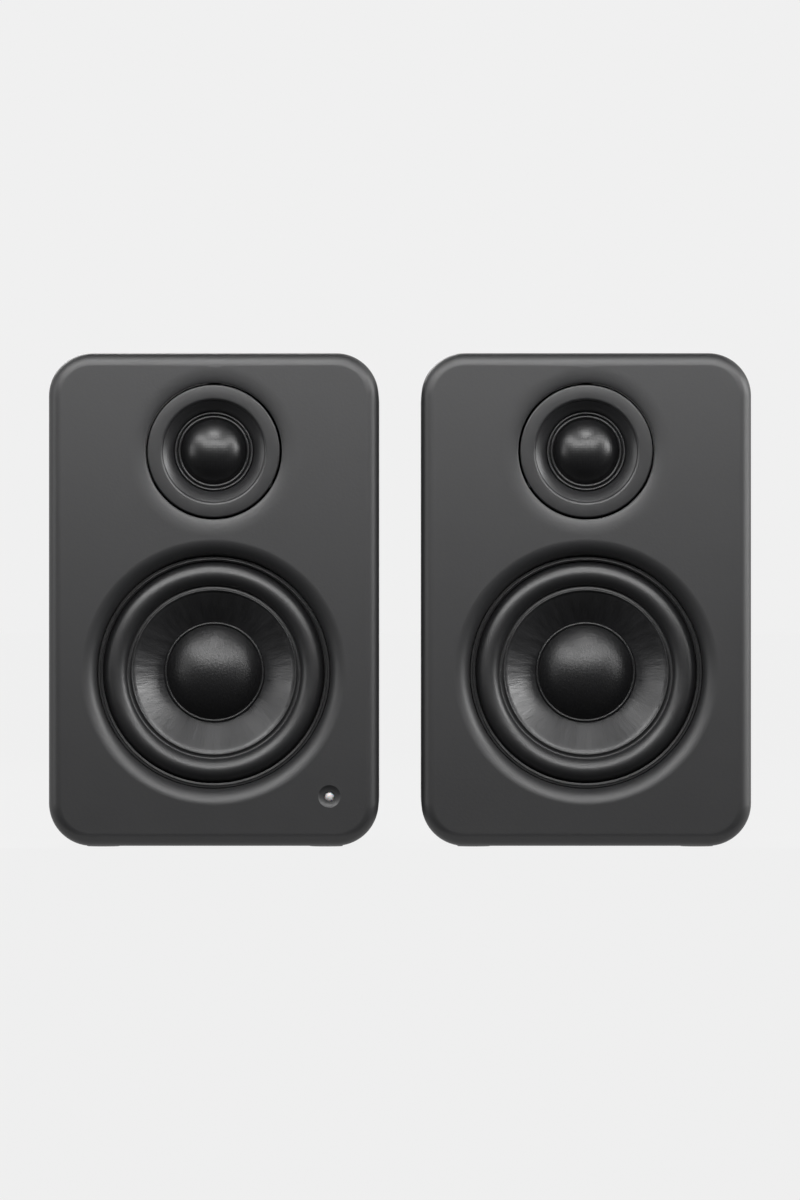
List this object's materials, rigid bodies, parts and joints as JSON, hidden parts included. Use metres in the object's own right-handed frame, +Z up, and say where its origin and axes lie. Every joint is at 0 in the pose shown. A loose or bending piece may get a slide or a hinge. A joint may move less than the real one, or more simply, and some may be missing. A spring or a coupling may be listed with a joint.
{
  "type": "desktop speaker pair",
  "caption": "Powered and passive two-way desktop speakers with woofer, dome tweeter, rear bass port, lever terminals and volume knob.",
  "frame": {"origin": "on the table, midway between the two speakers and halfway along their overall depth", "axes": "+Z up, -Y is the way the fronts face, +X to the right as seen from the front"},
  "size_m": [0.213, 0.115, 0.15],
  "materials": {
    "lacquered_fibreboard": "dark grey satin lacquer on fibreboard",
    "black_steel_plate": "black powder coat",
    "black_plastic": "moulded, fine grain",
    "plate_plastic": "satin moulded",
    "red_plastic": "moulded",
    "surround_rubber": "satin moulded rubber",
    "cone_fibre": "fibre-filled, radial sheen",
    "cap_fibre": "pressed, speckled",
    "dome_silk": "coated fine silk",
    "spider_cloth": "resin-treated cloth",
    "coil_copper": "enamelled winding on a foil former",
    "zinc_plated_steel": "zinc plated",
    "ferrite": "ground, dark grey",
    "foot_rubber": "matt",
    "wadding_fibre": "white polyester fibre",
    "board_laminate": "green solder mask",
    "can_sleeve": "shrink sleeve over an aluminium can",
    "sink_aluminium": "black anodised",
    "shaft_aluminium": "turned",
    "socket_nickel": "nickel plated",
    "contact_bronze": "tinned spring strip",
    "light_acrylic": "milky acrylic",
    "lead_vinyl": "red and black twin lead"
  },
  "bodies": {
    "cabinets": {"left_cabinet": "lacquered_fibreboard", "left_front_baffle": "lacquered_fibreboard", "left_rear_panel": "black_steel_plate", "left_woofer_frame": "black_steel_plate", "left_woofer_surround": "surround_rubber", "left_woofer_spider": "spider_cloth", "left_tweeter_plate": "plate_plastic", "left_tweeter_suspension": "dome_silk", "left_terminal_block": "black_plastic", "left_terminal_contacts": "contact_bronze", "right_cabinet": "lacquered_fibreboard", "right_front_baffle": "lacquered_fibreboard", "right_rear_panel": "black_steel_plate", "right_woofer_frame": "black_steel_plate", "right_woofer_surround": "surround_rubber", "right_woofer_spider": "spider_cloth", "right_tweeter_plate": "plate_plastic", "right_tweeter_suspension": "dome_silk", "right_terminal_block": "black_plastic", "right_terminal_contacts": "contact_bronze", "woofer_gaskets": "foot_rubber", "woofer_top_plates": "zinc_plated_steel", "woofer_magnets": "ferrite", "woofer_yokes": "zinc_plated_steel", "tweeter_pole_plates": "zinc_plated_steel", "tweeter_magnets": "ferrite", "tweeter_cups": "zinc_plated_steel", "bass_ports": "black_plastic", "rubber_feet": "foot_rubber", "wadding": "wadding_fibre", "driver_screws": "zinc_plated_steel", "panel_screws": "black_steel_plate", "volume_control": "socket_nickel", "circuit_boards": "board_laminate", "amplifier_capacitors": "can_sleeve", "amplifier_chokes": "ferrite", "heat_sink": "sink_aluminium", "aux_socket": "black_plastic", "subwoofer_socket": "socket_nickel", "power_socket": "black_plastic", "usb_socket": "socket_nickel", "light_pipe": "light_acrylic", "crossover_parts": "can_sleeve", "internal_leads": "lead_vinyl"},
    "left_cone": {"left_woofer_cone": "cone_fibre", "left_woofer_dust_cap": "cap_fibre", "left_woofer_voice_coil": "coil_copper"},
    "left_dome": {"left_tweeter_dome": "dome_silk", "left_tweeter_voice_coil": "coil_copper"},
    "left_red_tab": {"left_red_lever": "red_plastic"},
    "left_black_tab": {"left_black_lever": "black_plastic"},
    "right_cone": {"right_woofer_cone": "cone_fibre", "right_woofer_dust_cap": "cap_fibre", "right_woofer_voice_coil": "coil_copper"},
    "right_dome": {"right_tweeter_dome": "dome_silk", "right_tweeter_voice_coil": "coil_copper"},
    "right_red_tab": {"right_red_lever": "red_plastic"},
    "right_black_tab": {"right_black_lever": "black_plastic"},
    "knob": {"volume_knob": "black_plastic", "volume_shaft": "shaft_aluminium"}
  },
  "joints": [
    {"name": "left_woofer_travel", "type": "slide", "parent": "cabinets", "child": "left_cone", "axis": [0, -1, 0], "range_m": [-0.0025, 0.0025], "stiffness_N_per_m": 900, "deforming": ["left_woofer_surround", "left_woofer_spider"]},
    {"name": "left_tweeter_travel", "type": "slide", "parent": "cabinets", "child": "left_dome", "axis": [0, -1, 0], "range_m": [-0.0003, 0.0003], "stiffness_N_per_m": 50, "deforming": ["left_tweeter_suspension"]},
    {"name": "left_red_lever_push", "type": "hinge", "parent": "cabinets", "child": "left_red_tab", "pos_m": [-0.064, 0.0495, 0.0262], "axis": [1, 0, 0], "range_deg": [0, 16], "stiffness_Nm_per_rad": 0.15, "springref_deg": -5.73, "deforming": ["left_terminal_contacts"]},
    {"name": "left_black_lever_push", "type": "hinge", "parent": "cabinets", "child": "left_black_tab", "pos_m": [-0.049, 0.0495, 0.0262], "axis": [1, 0, 0], "range_deg": [0, 16], "stiffness_Nm_per_rad": 0.15, "springref_deg": -5.73},
    {"name": "right_woofer_travel", "type": "slide", "parent": "cabinets", "child": "right_cone", "axis": [0, -1, 0], "range_m": [-0.0025, 0.0025], "stiffness_N_per_m": 900, "deforming": ["right_woofer_surround", "right_woofer_spider"]},
    {"name": "right_tweeter_travel", "type": "slide", "parent": "cabinets", "child": "right_dome", "axis": [0, -1, 0], "range_m": [-0.0003, 0.0003], "stiffness_N_per_m": 50, "deforming": ["right_tweeter_suspension"]},
    {"name": "right_red_lever_push", "type": "hinge", "parent": "cabinets", "child": "right_red_tab", "pos_m": [0.049, 0.0495, 0.0592], "axis": [1, 0, 0], "range_deg": [0, 16], "stiffness_Nm_per_rad": 0.15, "springref_deg": -5.73, "deforming": ["right_terminal_contacts"]},
    {"name": "right_black_lever_push", "type": "hinge", "parent": "cabinets", "child": "right_black_tab", "pos_m": [0.064, 0.0495, 0.0592], "axis": [1, 0, 0], "range_deg": [0, 16], "stiffness_Nm_per_rad": 0.15, "springref_deg": -5.73},
    {"name": "volume_turn", "type": "hinge", "parent": "cabinets", "child": "knob", "pos_m": [-0.0325, 0.0495, 0.084], "axis": [0, -1, 0], "range_deg": [0, 300]}
  ]
}
